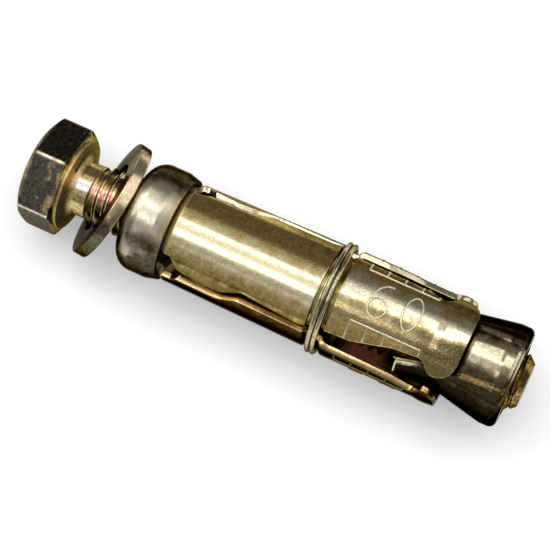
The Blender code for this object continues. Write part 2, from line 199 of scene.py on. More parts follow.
# The camera looks down on the anchor from its front, a little from the nut's end.
AXIS_HEIGHT = 7.4614 * MM
CAMERA_AZIMUTH = radians(25.8)
CAMERA_ELEVATION = radians(67.7)
CAMERA_DISTANCE = 240.7 * MM
CAMERA_LENS = 128.4
CAMERA_SHIFT = (-0.0051, -0.0007)


def camera():
    data = bpy.data.cameras.new("camera")
    data.lens = CAMERA_LENS
    data.shift_x, data.shift_y = CAMERA_SHIFT
    data.clip_start = 10 * MM
    level = cos(CAMERA_ELEVATION)
    aside = (sin(CAMERA_AZIMUTH) * level, -cos(CAMERA_AZIMUTH) * level)
    back = Vector((*aside, sin(CAMERA_ELEVATION)))
    eye = placed("camera", data)
    eye.location = Vector((0, 0, AXIS_HEIGHT)) + back * CAMERA_DISTANCE
    eye.rotation_euler = back.to_track_quat("Z", "Y").to_euler()
    bpy.context.scene.camera = eye


camera()

# The hexagon bolt: forged steel with a rolled thread, plated, its head stained dark. The
# thread is cut 8 mm coarse, and runs out into a plain neck under the head.
HEX_SIDES = 6
HEX_ACROSS_FLATS = 12.8 * MM
HEAD_HEIGHT = 5.3 * MM
HEAD_TURN = radians(6.4)
HEAD_CHAMFER_ANGLE = radians(30)
HEAD_TOP_FACE_RADIUS = 5.9 * MM
HEAD_CORNER_RADIUS = 7.22 * MM
HEAD_SOFTNESS = 0.16 * MM
WASHER_FACE_RADIUS = 5.95 * MM
WASHER_FACE_HEIGHT = 0.3 * MM
SHANK_LENGTH = 60.8 * MM
SHANK_RADIUS = 3.9 * MM
NECK_RADIUS = 3.5 * MM
NECK_END = 2.5 * MM
NECK_FILLET = 0.9 * MM
POINT_LENGTH = 1.2 * MM
POINT_RADIUS = 2.8 * MM
MIDDLE = (SHANK_LENGTH - HEAD_HEIGHT) / 2
THREAD_PITCH = 1.25 * MM
THREAD_ROOT_RADIUS = 3.25 * MM
THREAD_FIRST_CREST = 2.71 * MM
THREAD_RUNOUT = 0.5 * MM
THREAD_SHARES = (0, 0.06, 0.1, 0.2, 0.3, 0.4, 0.45, 0.55, 0.6, 0.7, 0.8, 0.9, 0.94)
CREST_HALF_WIDTH = 0.07
ROOT_HALF_WIDTH = 0.07
SHANK_COLUMNS = 72
SIDE_COLUMNS = 22
PROFILE_STEP = 0.12 * MM
ARC_STEPS = 6
PITCHES_BEFORE_CREST = 3
SHARP_ANGLE = radians(40)
WELD_DISTANCE = 1e-7
MOTTLE_SIZE = 0.45 * MM
BLOT_SIZE = 1.5 * MM
GRAIN_SIZE = 0.2 * MM
BLOT_HEIGHT = 2
# Each noise is its detail and the roughness of its finer layers
CALM_NOISE = (4, 0.55)
BROAD_NOISE = (4, 0.6)
SCALE_NOISE = (5, 0.55)
BLOT_NOISE = (5, 0.6)
FINE_NOISE = (5, 0.65)
# Where a noise is spread from nothing to full, or to a share
MOTTLING = (0.3, 0.7)
CLOSE_MOTTLING = (0.35, 0.65)
STAINED = (0.52, 0.78, 0, 0.7)
SCRATCHED = (0.69, 0.74)
# Real scratches, grain and specks are finer, and are drawn as coarse as they need to show
SCRATCH_WIDTH = 0.09 * MM
SCRATCH_LENGTH = 1.8 * MM
SCRATCH_ANGLE = (0.3, 0.5, 0.9)
SCRATCH_SHARE = 0.7
SCRATCH_TINT = "#F6F0DC"
GRAZING_TINT = "#8A8474"
DULL_ROUGHNESS = 0.45
# A plating is its light, its dark and its stained tone, the roughness of smooth and of rough
# spots, the depth of its dents and, where it has its own, the size of its mottling
BOLT_PLATING = ("#E6D8AC", "#BCA878", "#94845A", 0.14, 0.24, 0.003 * MM)
# Zones round the bolt are turns in degrees: where one comes in, or its two ends and a softness
# The crown zones hold painted highlights: pale salmon on the thread, paler on the neck and golden on the
# bearing face. The low side holds painted shade.
BOLT_CROWN = (4, 30, 6)
BOLT_LOW_SIDE = (36, 56)
BEARING_CROWN = (-24, 26, 14)
CROWN_TONES = ("#E4B4A0", "#FAE0D2")
LOW_SIDE_TONES = ("#4E4022", "#6E5C36")
LOW_SIDE_SHARE = 0.75
# Zones along the bolt are stations, in the same way
POINT_START = SHANK_LENGTH - 3.2 * MM
POINT_BORDER = 0.4 * MM
IN_SHIELD = (12 * MM, POINT_START, POINT_BORDER)
ON_POINT = (POINT_START, POINT_START + POINT_BORDER)
ON_NECK = (0, NECK_END, 0.2 * MM)
DULL_BEARING = (-0.3 * MM, 0.8 * MM, 0.2 * MM)
# Painted shade: inside the shield the red-brown thread is coloured dark, and made less metallic
IN_SHIELD_TONES = ("#40241C", "#6A4034")
IN_SHIELD_METALLIC = 0.35
POINT_TONES = ("#5E4A2A", "#A8905C")
NECK_TONES = ("#A4905E", "#D4C08E")
NECK_CROWN_TONES = ("#E8CAB4", "#FAEFE2")
BEARING_TONES = ("#A8945E", "#CDB985")
BEARING_CROWN_TONES = ("#DAB878", "#F2DAA6")
HEX_TURN = 2 * pi / HEX_SIDES
HEAD_BORDER = (-0.35 * MM, -0.55 * MM)
HEAD_SIDE = (-HEAD_HEIGHT + 0.1 * MM, -HEAD_HEIGHT + 0.3 * MM)
HEAD_RIM = (-HEAD_HEIGHT + 0.75 * MM, -HEAD_HEIGHT + 0.5 * MM)
HEAD_ROUGHNESS = 0.28
SCALE_TONES = ("#32322D", "#545249")
HEAD_END_TONES = ("#5A574C", "#6E6A5C")
# Painted light on the head: the front facet and the low facet are coloured lighter than the others
FACET_BORDER = radians(2)
FRONT_FACET_TONES = ("#4C4A42", "#6C695E")
LOW_FACET = (HEAD_TURN + 0.95, HEAD_TURN + 1.15)
LOW_FACET_TONES = ("#73726E", "#A3A29D")
# Each stain on the head: its stations and their softness, and its turns and theirs
HEAD_STAINS = (
    ((-5.6 * MM, -4.5 * MM, 0.2 * MM), (0.28, 0.62, 0.06)),
    ((-2.6 * MM, -1.6 * MM, 0.2 * MM), (0.2, 0.5, 0.06)),
    ((-1.4 * MM, 0, 0.25 * MM), (0.26, 1.1, 0.1)),
)
BLOTTED = (0.4, 0.52)
TAN_TONES = ("#A8926A", "#D8C29A")
TAN_SPECK_SIZE = 0.9 * MM
TAN_SPECKED = (0.64, 0.7, 0, 0.6)
# Painted highlights along the head's six corners and its top rim
CORNER_HIGHLIGHT = radians(0.9)
RIM_SHARE = 0.5
LEAST_HIGHLIGHT = 0.5
EDGE_HIGHLIGHT_TINT = "#E4D8B8"


def on_axis(station, radius, turn):
    """A point round the bolt's axis, on the table."""
    return Vector((station - MIDDLE, -radius * sin(turn), AXIS_HEIGHT + radius * cos(turn)))


def wrapped(rows, columns, place, sheared=None):
    """A sheet of rows and columns, each of its points put in place by a function."""
    bm = bmesh.new()
    bmesh.ops.create_grid(bm, x_segments=columns, y_segments=rows, size=0.5)
    mark = bm.verts.layers.float.new("sheared")
    for vert in bm.verts:
        row = round((vert.co.y + 0.5) * rows)
        column = round((vert.co.x + 0.5) * columns)
        vert.co = place(row, column)
        vert[mark] = sheared[column] if sheared else 0
    return bm


def rounded(corners, steps=ARC_STEPS, closed=False):
    """Replace each corner (station, radius, fillet) of a profile with an arc."""
    count = len(corners)
    points = []
    for index, (station, radius, fillet) in enumerate(corners):
        corner = Vector((station, radius))
        if fillet == 0 or (not closed and index in (0, count - 1)):
            points.append(corner)
            continue
        before = (Vector(corners[index - 1][:2]) - corner).normalized()
        after = (Vector(corners[(index + 1) % count][:2]) - corner).normalized()
        half = before.angle(after) / 2
        centre = corner + (before + after).normalized() * fillet / sin(half)
        start = corner + before * fillet / tan(half) - centre
        sweep = start.angle_signed(corner + after * fillet / tan(half) - centre)
        points += [centre + Matrix.Rotation(-sweep * k / steps, 2) @ start for k in range(steps + 1)]
    return points


def stepped(points, step):
    """The same profile with no step between its points longer than the one given."""
    fine = [points[0]]
    for before, after in zip(points, points[1:]):
        count = max(1, ceil((after - before).length / step))
        fine += [before.lerp(after, k / count) for k in range(1, count + 1)]
    return fine


def show(name, parts, material, body, nodes):
    """One piece of metal from its meshes, riding on its body in place of the plain solids."""
    bm = bmesh.new()
    mesh = bpy.data.meshes.new(name)
    for part in parts:
        part.to_mesh(mesh)
        part.free()
        bm.from_mesh(mesh)
    bmesh.ops.remove_doubles(bm, verts=bm.verts, dist=WELD_DISTANCE)
    bmesh.ops.dissolve_degenerate(bm, edges=bm.edges, dist=WELD_DISTANCE)
    bmesh.ops.recalc_face_normals(bm, faces=bm.faces)
    bm.to_mesh(mesh)
    bm.free()
    mesh.shade_smooth()
    mesh.set_sharp_from_angle(angle=SHARP_ANGLE)
    mesh.materials.append(material)
    piece = placed(name, mesh)
    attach(piece, body)
    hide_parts(*nodes)


def soft_min(first, second, softness):
    """The smaller of two radii, with the corner between them eased."""
    near = max(softness - abs(first - second), 0) / softness
    return min(first, second) - near * near * softness / 4


def head_part():
    """The hexagon: a turned, chamfered blank whose radius the six flats cut back."""
    top_slope = (HEAD_CORNER_RADIUS - HEAD_TOP_FACE_RADIUS) * tan(HEAD_CHAMFER_ANGLE)
    bottom_slope = (HEAD_CORNER_RADIUS - WASHER_FACE_RADIUS) * tan(HEAD_CHAMFER_ANGLE) / 2
    blank = rounded(
        (
            (-HEAD_HEIGHT, 0, 0),
            (-HEAD_HEIGHT, HEAD_TOP_FACE_RADIUS, HEAD_SOFTNESS),
            (-HEAD_HEIGHT + top_slope, HEAD_CORNER_RADIUS, 2 * HEAD_SOFTNESS),
            (-WASHER_FACE_HEIGHT - bottom_slope, HEAD_CORNER_RADIUS, 2 * HEAD_SOFTNESS),
            (-WASHER_FACE_HEIGHT, WASHER_FACE_RADIUS, 0),
            (0, WASHER_FACE_RADIUS, HEAD_SOFTNESS / 2),
            (0, 0, 0),
        )
    )
    profile = stepped(blank, PROFILE_STEP)
    half_side = pi / HEX_SIDES

    def place(row, column):
        side, step = divmod(column, SIDE_COLUMNS)
        # Columns crowd towards the corners, at both ends of each side
        swing = sin((step / SIDE_COLUMNS - 0.5) * pi) * half_side
        turn = HEAD_TURN + half_side * (2 * side + 1) + swing
        flat = HEX_ACROSS_FLATS / 2 / cos(swing)
        station, radius = profile[row]
        return on_axis(station, soft_min(radius, flat, HEAD_SOFTNESS), turn)

    return wrapped(len(profile) - 1, HEX_SIDES * SIDE_COLUMNS, place)


def thread_radius(station, turn):
    """The thread's form, with its run-out at the neck and its chamfer at the point."""
    share = ((station - THREAD_FIRST_CREST) / THREAD_PITCH - turn / (2 * pi)) % 1
    aside = min(share, 1 - share)
    slope = (0.5 - ROOT_HALF_WIDTH - aside) / (0.5 - ROOT_HALF_WIDTH - CREST_HALF_WIDTH)
    thread = THREAD_ROOT_RADIUS + (SHANK_RADIUS - THREAD_ROOT_RADIUS) * min(max(slope, 0), 1)
    begun = min(max((station - NECK_END) / THREAD_RUNOUT, 0), 1)
    point = POINT_RADIUS + (SHANK_LENGTH - station) * (SHANK_RADIUS - POINT_RADIUS) / POINT_LENGTH
    fillet = NECK_FILLET - min(max(station, 0), NECK_FILLET)
    neck = NECK_RADIUS + NECK_FILLET - sqrt(max(NECK_FILLET ** 2 - fillet ** 2, 0))
    return min(neck + (thread - neck) * begun, point)


def shank_part():
    """The shank as a sheet whose rows follow the thread's own helix."""
    per_pitch = len(THREAD_SHARES)
    pitches = ceil(SHANK_LENGTH / THREAD_PITCH) + 1
    rows = per_pitch * pitches

    def place(row, column):
        turn = 2 * pi * column / SHANK_COLUMNS
        if row == rows:
            return on_axis(SHANK_LENGTH, 0, turn)
        pitch, part = divmod(row, per_pitch)
        pitches_along = pitch - PITCHES_BEFORE_CREST + THREAD_SHARES[part] + column / SHANK_COLUMNS
        along = THREAD_FIRST_CREST + THREAD_PITCH * pitches_along
        station = min(max(along, 0), SHANK_LENGTH)
        return on_axis(station, thread_radius(station, turn), turn)

    return wrapped(rows, SHANK_COLUMNS, place)


def noise(place, size, detail, roughness):
    """Noise whose blotches are about as large as the size given."""
    inputs = {"Vector": place, "Scale": 1 / size, "Detail": detail, "Roughness": roughness}
    return add(place.id_data, "TexNoise", inputs).outputs["Fac"]


def spread(value, low, high, to_low=0.0, to_high=1.0):
    """A value between low and high, stretched smoothly over another range."""
    inputs = {"Value": value, "From Min": low, "From Max": high, "To Min": to_low, "To Max": to_high}
    return add(value.id_data, "MapRange", inputs, interpolation_type="SMOOTHSTEP").outputs["Result"]


def mixed(share, first, second):
    """Two colours, each a tint or an output, mixed by a share."""
    return add(share.id_data, "Mix", {"Factor": share, 6: first, 7: second}, data_type="RGBA").outputs[2]


def times(first, second):
    """Where two shares hold at once, or a value made larger or smaller."""
    inputs = {0: first, 1: second}
    return add(first.id_data, "Math", inputs, operation="MULTIPLY").outputs["Value"]


def either(first, second):
    """Where at least one of two shares holds."""
    inputs = {0: first, 1: second}
    return add(first.id_data, "Math", inputs, operation="MAXIMUM").outputs["Value"]


def moved(value, by):
    """A turn, a station or a height, moved by as much as is given."""
    return add(value.id_data, "Math", {0: value, 1: by}, operation="ADD").outputs["Value"]


def scratches(place):
    """Thin lines that run one way, where a stretched noise passes its middle."""
    tree = place.id_data
    scale = (1 / SCRATCH_LENGTH, 1 / SCRATCH_WIDTH, 1 / SCRATCH_WIDTH)
    skew = {"Vector": place, "Rotation": SCRATCH_ANGLE, "Scale": scale}
    skewed = add(tree, "Mapping", skew).outputs["Vector"]
    lines = add(tree, "TexNoise", {"Vector": skewed, "Scale": 1, "Detail": 1}).outputs["Fac"]
    return spread(lines, *SCRATCHED)


def tones(share, dark, light):
    """Two colours written as sRGB, mixed by a share."""
    return mixed(share, tint(dark), tint(light))


def laid(colour, share, mottle, pair):
    """A colour with two mottled tones laid over a share of it."""
    return mixed(share, colour, tones(mottle, *pair))


def plated(name, light, dark, stain, smooth, rough, dent, mottle=MOTTLE_SIZE, drawn=1):
    """Zinc plating: two near tones in mottling, stains, scratches and a skin rippled along X."""
    material, tree, shader = new_material(name)
    place = add(tree, "TexCoord").outputs["Object"]
    fine = noise(place, mottle, *FINE_NOISE)
    broad = noise(place, BLOT_SIZE, *BROAD_NOISE)
    colour = tones(spread(fine, *MOTTLING), dark, light)
    colour = mixed(spread(broad, *STAINED), colour, tint(stain))
    lines = times(scratches(place), SCRATCH_SHARE)
    colour = mixed(lines, colour, tint(SCRATCH_TINT))
    feed(shader, "Base Color", colour)
    shader.inputs["Metallic"].default_value = 1
    shader.inputs["Specular Tint"].default_value = tint(GRAZING_TINT)
    feed(shader, "Roughness", spread(fine, *MOTTLING, rough, smooth))
    along = add(tree, "Mapping", {"Vector": place, "Scale": (1 / drawn, 1, 1)}).outputs["Vector"]
    grain = noise(along, GRAIN_SIZE, *BROAD_NOISE)
    height = moved(grain, times(broad, BLOT_HEIGHT))
    bump = add(tree, "Bump", {"Height": height, "Strength": 1, "Distance": dent})
    feed(shader, "Normal", bump.outputs["Normal"])
    return material, shader, place, colour


def round_axis(place):
    """The distance along the bolt and the turn round it, of each point of a surface."""
    parts = add(place.id_data, "SeparateXYZ", {"Vector": place}).outputs
    aside = times(parts["Y"], -1)
    above = moved(parts["Z"], -AXIS_HEIGHT)
    turn = add(place.id_data, "Math", {0: aside, 1: above}, operation="ARCTAN2").outputs["Value"]
    return moved(parts["X"], MIDDLE), turn


def wandering(place, turn, size, reach):
    """The same turn, pushed to and fro by noise, so that a zone's border is uneven."""
    push = spread(noise(place, size, *CALM_NOISE), *MOTTLING, -reach, reach)
    return moved(turn, push)


def band(value, low, high, softness):
    """A share that is full between two values and fades away beyond them."""
    begun = spread(value, low - softness, low + softness)
    return times(begun, spread(value, high + softness, high - softness))


def turn_spread(turn, low, high):
    """A share that rises from one turn to another, both in degrees."""
    return spread(turn, radians(low), radians(high))


def turn_band(turn, low, high, softness):
    """A share that is full between two turns, all in degrees."""
    return band(turn, radians(low), radians(high), radians(softness))


def duller(shader, share, rough):
    """A zone of the surface with a roughness of its own."""
    before = shader.inputs["Roughness"].links[0].from_socket
    feed(shader, "Roughness", spread(share, 0, 1, before, rough))


def corner_distance(turn):
    """How far each point of the head lies from its nearest corner, as a turn."""
    half_side = pi / HEX_SIDES
    side = {0: moved(turn, 2 * pi - HEAD_TURN + half_side), 1: HEX_TURN}
    side = add(turn.id_data, "Math", side, operation="MODULO").outputs["Value"]
    off = {0: moved(side, -half_side)}
    return add(turn.id_data, "Math", off, operation="ABSOLUTE").outputs["Value"]


def head_skin(place, station, turn):
    """Black forging scale with tan stains, its facets in painted light and shade, and painted highlights
    along the corners and the top rim.
    """
    mottle = spread(noise(place, MOTTLE_SIZE, *SCALE_NOISE), *CLOSE_MOTTLING)
    # Painted light: the front facet and the low facet in lighter tones
    front = band(turn, HEAD_TURN, HEAD_TURN + HEX_TURN, FACET_BORDER)
    scale = laid(tones(mottle, *SCALE_TONES), front, mottle, FRONT_FACET_TONES)
    stained = 0
    for along, across in HEAD_STAINS:
        patch = times(band(station, *along), band(turn, *across))
        stained = either(patch, stained)
    blots = spread(noise(place, BLOT_SIZE, *BLOT_NOISE), *BLOTTED)
    specks = spread(noise(place, TAN_SPECK_SIZE, *BLOT_NOISE), *TAN_SPECKED)
    scale = laid(scale, either(times(stained, blots), specks), mottle, TAN_TONES)
    scale = laid(scale, spread(turn, *LOW_FACET), mottle, LOW_FACET_TONES)
    on_side = spread(station, *HEAD_SIDE)
    scale = mixed(on_side, tones(mottle, *HEAD_END_TONES), scale)
    # Painted highlights along the corners and the top rim
    corner = times(spread(corner_distance(turn), CORNER_HIGHLIGHT * 2, CORNER_HIGHLIGHT), on_side)
    edge_highlight = either(corner, times(spread(station, *HEAD_RIM), RIM_SHARE))
    edge_highlight = times(edge_highlight, spread(mottle, 0, 1, LEAST_HIGHLIGHT, 1))
    return mixed(edge_highlight, scale, tint(EDGE_HIGHLIGHT_TINT))


def bolt():
    material, shader, place, colour = plated("yellow_zinc_on_bolt", *BOLT_PLATING)
    station, turn = round_axis(place)
    mottle = spread(noise(place, MOTTLE_SIZE, *CALM_NOISE), *CLOSE_MOTTLING)
    # Painted highlight on the crown and painted shade on the low side
    crown = turn_band(turn, *BOLT_CROWN)
    colour = laid(colour, crown, mottle, CROWN_TONES)
    low = times(turn_spread(turn, *BOLT_LOW_SIDE), LOW_SIDE_SHARE)
    colour = laid(colour, low, mottle, LOW_SIDE_TONES)
    # Painted shade on the thread inside the shield
    in_shield = band(station, *IN_SHIELD)
    colour = laid(colour, in_shield, mottle, IN_SHIELD_TONES)
    colour = laid(colour, spread(station, *ON_POINT), mottle, POINT_TONES)
    # The neck's crown and the bearing face's golden crown are painted highlights
    neck = laid(tones(mottle, *NECK_TONES), crown, mottle, NECK_CROWN_TONES)
    colour = mixed(band(station, *ON_NECK), colour, neck)
    golden = turn_band(turn, *BEARING_CROWN)
    face = laid(tones(mottle, *BEARING_TONES), golden, mottle, BEARING_CROWN_TONES)
    colour = mixed(spread(station, NECK_FILLET, 0), colour, face)
    duller(shader, band(station, *DULL_BEARING), DULL_ROUGHNESS)
    on_head = spread(station, *HEAD_BORDER)
    colour = mixed(on_head, colour, head_skin(place, station, turn))
    duller(shader, on_head, HEAD_ROUGHNESS)
    feed(shader, "Base Color", colour)
    feed(shader, "Metallic", spread(in_shield, 0, 1, 1, IN_SHIELD_METALLIC))
    show("hexagon_bolt", [head_part(), shank_part()], material, "bolt", ["hex_bolt"])


bolt()

# The flat washer: punched from plate, its edges rounded by tumbling, loose on the shank and
# leaning with its top against the ferrule.
WASHER_RADIUS = 7.95 * MM
WASHER_CLEARANCE = 0.13 * MM
WASHER_THICKNESS = 1.55 * MM
WASHER_EDGE_ROUNDING = 0.2 * MM
WASHER_LEAN = radians(24.8)
WASHER_STATION = 4.8 * MM
WASHER_HOLE_RADIUS = (
    SHANK_RADIUS + WASHER_CLEARANCE + WASHER_THICKNESS / 2 * sin(WASHER_LEAN)
) / cos(WASHER_LEAN)
TURNED_COLUMNS = 160
WASHER_PLATING = ("#E8DAB4", "#CCBA90", "#B8A47C", 0.14, 0.24, 0.004 * MM)
WASHER_WANDER = 0.15
# Painted shade on the rim outside its crown, and a pink painted highlight across it
WASHER_CROWN = (-42, 40, 12)
WASHER_SIDE_TONES = ("#48422F", "#6E6650")
WASHER_HIGHLIGHT = (-22, 4, 8)
WASHER_HIGHLIGHT_SHARE = 0.45
WASHER_HIGHLIGHT_TINT = "#EBCDB8"


def turned(profile, columns=TURNED_COLUMNS):
    """A ring about the bolt's axis from a closed profile."""
    closed = profile + profile[:1]

    def place(row, column):
        return on_axis(closed[row].x, closed[row].y, 2 * pi * column / columns)

    return wrapped(len(closed) - 1, columns, place)


def washer():
    half = WASHER_THICKNESS / 2
    profile = rounded(
        (
            (MIDDLE - half, WASHER_HOLE_RADIUS, WASHER_EDGE_ROUNDING / 2),
            (MIDDLE - half, WASHER_RADIUS, WASHER_EDGE_ROUNDING),
            (MIDDLE + half, WASHER_RADIUS, WASHER_EDGE_ROUNDING),
            (MIDDLE + half, WASHER_HOLE_RADIUS, WASHER_EDGE_ROUNDING / 2),
        ),
        closed=True,
    )
    ring = turned(profile)
    centre = on_axis(MIDDLE, 0, 0)
    lean = Matrix.Rotation(WASHER_LEAN, 4, "Y")
    way = Matrix.Translation(on_axis(WASHER_STATION, 0, 0)) @ lean @ Matrix.Translation(-centre)
    bmesh.ops.transform(ring, matrix=way, verts=ring.verts)
    material, shader, place, colour = plated("yellow_zinc_on_washer", *WASHER_PLATING)
    turn = wandering(place, round_axis(place)[1], BLOT_SIZE, WASHER_WANDER)
    mottle = spread(noise(place, MOTTLE_SIZE, *CALM_NOISE), *MOTTLING)
    # Painted shade outside the crown and a pink painted highlight
    crown = turn_band(turn, *WASHER_CROWN)
    colour = mixed(crown, tones(mottle, *WASHER_SIDE_TONES), colour)
    pink_highlight = times(turn_band(turn, *WASHER_HIGHLIGHT), WASHER_HIGHLIGHT_SHARE)
    feed(shader, "Base Color", mixed(pink_highlight, colour, tint(WASHER_HIGHLIGHT_TINT)))
    show("flat_washer_ring", [ring], material, "washer", ["flat_washer"])


washer()

# The ferrule: a drawn steel cup that holds the three segments' hooked tongues. Its mouth is
# rolled in over them, and its plating has turned grey.
FERRULE_START = 8.15 * MM
FERRULE_END = 14.15 * MM
FERRULE_RADIUS = 7.07 * MM
FERRULE_WALL = 0.6 * MM
FERRULE_SHOULDER = 2.2 * MM
FERRULE_RIM_LENGTH = 1.5 * MM
FERRULE_RIM_DROP = 0.42 * MM
FERRULE_RIM_ROUNDING = 1.2 * MM
FERRULE_HOLE_CLEARANCE = 0.35 * MM
FERRULE_LIP_ROUNDING = 0.12 * MM
FERRULE_PLATING = ("#E2DAC4", "#CAC1AA", "#B4AA92", 0.2, 0.3, 0.005 * MM, 1.2 * MM)
FERRULE_WANDER = 0.16
# Painted shade on the ferrule outside its crown, and a painted highlight at one spot low on its front; the
# lip's coppery tint shows only on the crown
FERRULE_CROWN = (-19, 46, 12)
FERRULE_SIDE_TONES = ("#403C30", "#5E5848")
SPOT_HIGHLIGHT_TURNS = (55, 63, 7)
SPOT_HIGHLIGHT_PLACE = (FERRULE_START + 1.6 * MM, FERRULE_START + 2.6 * MM, 0.9 * MM)
SPOT_HIGHLIGHT_SHARE = 0.75
SPOT_HIGHLIGHT_TINT = "#F4E8CC"
FERRULE_LIP = (FERRULE_END - 0.9 * MM, FERRULE_END - 0.5 * MM, 0, 0.5)
LIP_TINT = "#C4A478"


def ferrule_plating():
    """Grey mottled plating under painted shade off its crown, with a painted highlight at one spot, and
    coppery at its lip on the crown.
    """
    material, shader, place, colour = plated("grey_zinc_on_ferrule", *FERRULE_PLATING)
    station, turn = round_axis(place)
    turn = wandering(place, turn, 2 * BLOT_SIZE, FERRULE_WANDER)
    mottle = spread(noise(place, MOTTLE_SIZE, *SCALE_NOISE), *MOTTLING)
    crown = turn_band(turn, *FERRULE_CROWN)
    colour = mixed(crown, tones(mottle, *FERRULE_SIDE_TONES), colour)
    spot_highlight = times(turn_band(turn, *SPOT_HIGHLIGHT_TURNS), band(station, *SPOT_HIGHLIGHT_PLACE))
    colour = mixed(times(spot_highlight, SPOT_HIGHLIGHT_SHARE), colour, tint(SPOT_HIGHLIGHT_TINT))
    on_lip = times(spread(station, *FERRULE_LIP), crown)
    feed(shader, "Base Color", mixed(on_lip, colour, tint(LIP_TINT)))
    return material


def ferrule():
    rim_start = FERRULE_END - FERRULE_RIM_LENGTH
    rim_radius = FERRULE_RADIUS - FERRULE_RIM_DROP
    hole = SHANK_RADIUS + FERRULE_HOLE_CLEARANCE
    inside = FERRULE_RADIUS - FERRULE_WALL
    floor = FERRULE_START + FERRULE_WALL
    profile = rounded(
        (
            (FERRULE_START, hole, FERRULE_LIP_ROUNDING),
            (FERRULE_START, FERRULE_RADIUS, FERRULE_SHOULDER),
            (rim_start, FERRULE_RADIUS, FERRULE_RIM_ROUNDING),
            (FERRULE_END, rim_radius, FERRULE_LIP_ROUNDING),
            (FERRULE_END, rim_radius - FERRULE_WALL, FERRULE_LIP_ROUNDING),
            (rim_start, inside, 0),
            (floor, inside, FERRULE_SHOULDER - FERRULE_WALL),
            (floor, hole, 0),
        ),
        steps=2 * ARC_STEPS,
        closed=True,
    )
    material = ferrule_plating()
    show("drawn_ferrule", [turned(profile)], material, "shield_base", ["ferrule_cap"])


ferrule()

# The three shield segments: pressed alike from steel plate, bent round the bolt, joggled down
# into the ferrule, grooved for the ring and lobed at the cone. Raised lines are pressed into
# their skin near both edges, with a plain number between them.
PLATE = 0.85 * MM
TONGUE_CLEARANCE = 0.22 * MM
HOOK_LENGTH = 1.0 * MM
BODY_START = 14.9 * MM
BODY_START_RADIUS = 6.45 * MM
BODY_END_RADIUS = 6.72 * MM
JOGGLE_LENGTH = 0.8 * MM
GROOVE_START = 34.0 * MM
GROOVE_WIDTH = 2.4 * MM
GROOVE_DEPTH = 0.42 * MM
GROOVE_SLOPE = 0.4 * MM
SKIRT_RADIUS = 6.86 * MM
LOBE_START = 48.8 * MM
LOBE_RISE = 1.0 * MM
LOBE_RADIUS = 6.98 * MM
LOBE_CORNER = 2.5 * MM
LOBE_TIP_LENGTH = 1.1 * MM
LOBE_TIP_DROP = 0.1 * MM
FRONT_SEGMENT_END = 52.8 * MM
OTHER_SEGMENT_END = 51.6 * MM
BEND_ROUNDING = 0.35 * MM
SEGMENT_COUNT = 3
SHIELD_TURN = radians(20.3)
# Points of an edge are a share of the body's length and degrees from the middle line
UPPER_EDGE = (
    (0, -52), (0.037, -52), (0.050, -57.5), (0.203, -57.5), (0.266, -69), (0.517, -69),
    (0.583, -59), (0.689, -58), (0.818, -55.5), (0.889, -50), (0.923, -67),
)
LOWER_EDGE = (
    (0, 31), (0.032, 31), (0.045, 44), (0.129, 51), (0.203, 49), (0.277, 36),
    (0.364, 39), (0.478, 42), (0.570, 35), (0.660, 33.5), (0.726, 27.5), (0.792, 21),
    (0.889, 18.5), (0.926, 31.5),
)
EDGE_ROUNDING = 0.9 * MM
EDGE_SAMPLES = 9
EDGE_SOFTNESS = 0.16 * MM
EDGE_SLANT = radians(19)
SEGMENT_STEP = 0.16 * MM
SKIN_COLUMNS = 60
BACK_COLUMNS = 30
LINE_RADIUS = 0.14 * MM
LINE_SINK = 0.02 * MM
LINE_STEP = 0.25 * MM
LINE_BEVEL = 2
LINE_MARGIN = 1.5
# Each row of raised lines: the edge that it runs along, its angle and where it starts
LADDERS = ((UPPER_EDGE, -47.5, 38.5 * MM), (LOWER_EDGE, 11, 39 * MM))
LADDER_PITCH = 2.27 * MM
LADDER_STEPS = 4
# Lines of the number are mm along the bolt and degrees from the segment's middle line. An oval
# is its centre, its half axes, the swing where it starts, its sweep, and how many steps it has
SIX_STEM = ((42.3, -37.5), (41.4, -36), (40.7, -30.5), (40.2, -22))
SIX_BOWL = ((41.3, -10), (1.15, 10), -65, 400, 24)
NOUGHT = ((45.45, -19), (1.1, 18.5), 0, 360, 32)
THIRD = 2 * pi / SEGMENT_COUNT
TONGUE_START = FERRULE_START + FERRULE_SHOULDER
TONGUE_RADIUS = FERRULE_RADIUS - FERRULE_RIM_DROP - FERRULE_WALL - TONGUE_CLEARANCE
HOOK_RADIUS = FERRULE_RADIUS - FERRULE_WALL - TONGUE_CLEARANCE
GROOVE_END = GROOVE_START + GROOVE_WIDTH
GROOVE_RADIUS = BODY_END_RADIUS - GROOVE_DEPTH
SHIELD_PLATING = ("#D6BE78", "#A68B4E", "#8A743E", 0.12, 0.22, 0.0055 * MM)
SHIELD_DRAWN = 2
SHIELD_WANDER = 0.1
FINE_MOTTLE = 0.28 * MM
GRIT_NOISE = (5, 0.7)
GRIT = (0.3, 0.65)
BEYOND_RING = (GROOVE_END - 0.2 * MM, GROOVE_END + 0.4 * MM)
ON_LOBE = (LOBE_START - 2.5 * MM, LOBE_START)
# A pale painted highlight on the crown before the ring
BODY_CROWN = (2, 38, 12)
BODY_CROWN_SHARE = 0.95
BODY_CROWN_TONES = ("#E4D8A8", "#F2EBC8")
